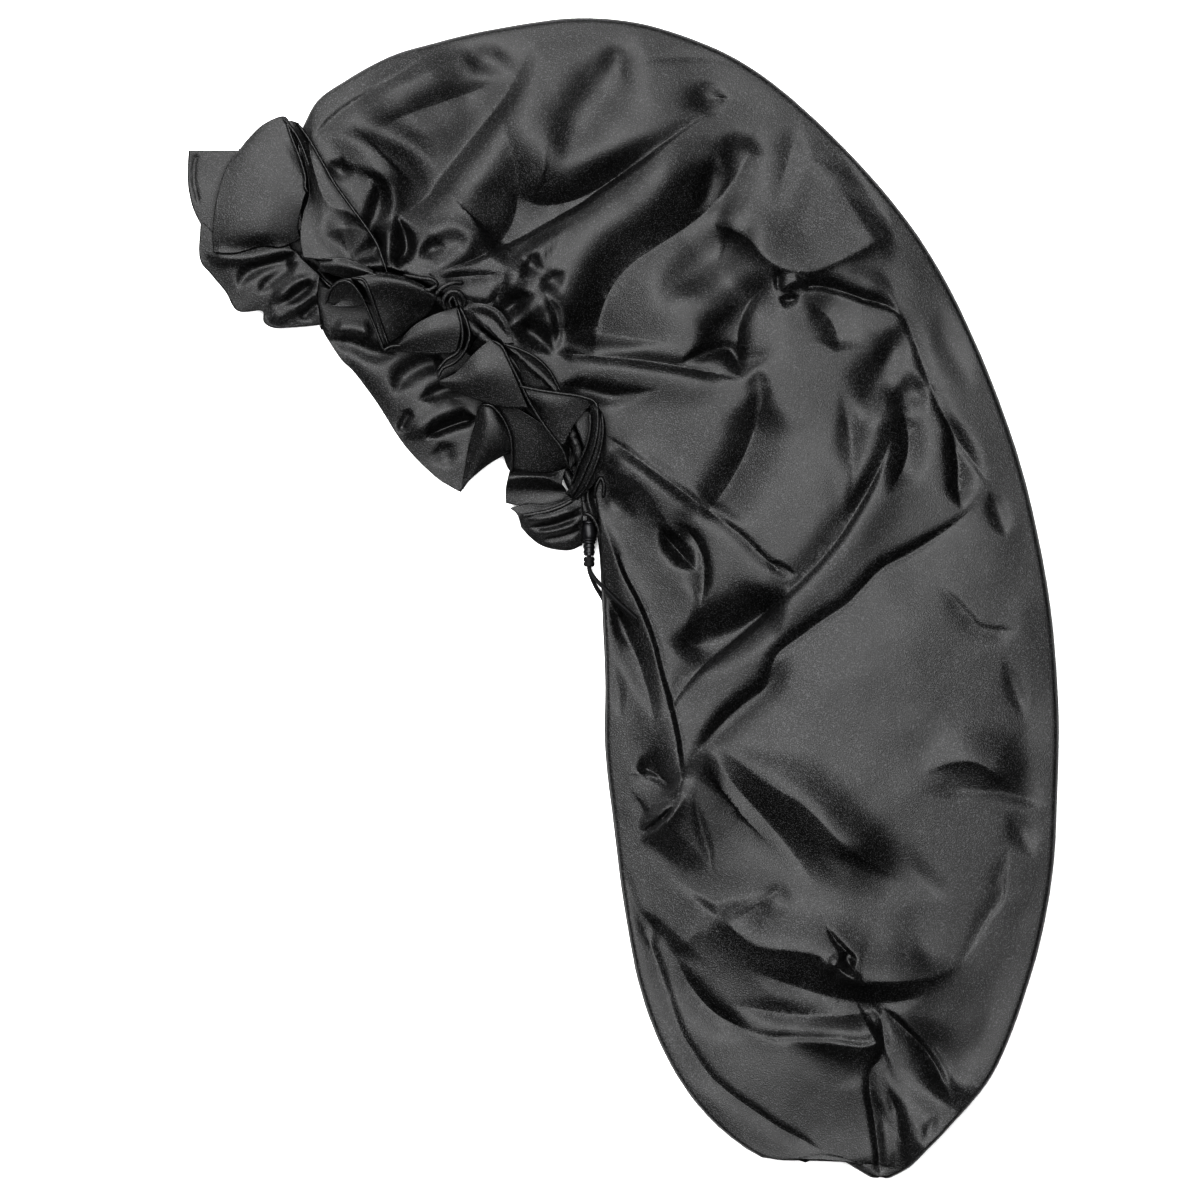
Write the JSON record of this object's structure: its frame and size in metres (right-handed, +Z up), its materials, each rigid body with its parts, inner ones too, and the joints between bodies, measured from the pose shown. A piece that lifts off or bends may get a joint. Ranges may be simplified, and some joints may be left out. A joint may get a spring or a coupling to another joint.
{
  "type": "hair bonnet",
  "caption": "Extra-long satin hair bonnet for braids, lying on its side, with a gathered elastic head opening, a wide frill, and a drawcord with a cord lock.",
  "frame": {"origin": "centre of the bonnet's footprint as it lies on its side, on the surface it rests on (cord, knot and lock left out)", "axes": "+X from the head opening towards the crown seam, +Y from the tail tip towards the crown, +Z up from the surface, through the upper side panel"},
  "size_m": [0.4768, 0.6369, 0.0386],
  "materials": {
    "upper_panel": "charcoal satin weave, soft broad sheen",
    "lower_panel": "charcoal satin weave, soft broad sheen",
    "elastic_casing": "gathered charcoal satin",
    "upper_frill": "charcoal satin with a stitched hem",
    "lower_frill": "charcoal satin with a stitched hem",
    "cord_lock": "black satin moulding",
    "cord_knot": "black braided elastic",
    "cord_strand_a": "black braided elastic",
    "cord_strand_b": "black braided elastic"
  },
  "bodies": {
    "root": {"upper_panel": "upper_panel", "lower_panel": "lower_panel", "elastic_casing": "elastic_casing", "upper_frill": "upper_frill", "lower_frill": "lower_frill", "cord_lock": "cord_lock", "cord_knot": "cord_knot", "cord_strand_a": "cord_strand_a", "cord_strand_b": "cord_strand_b"}
  },
  "joints": []
}
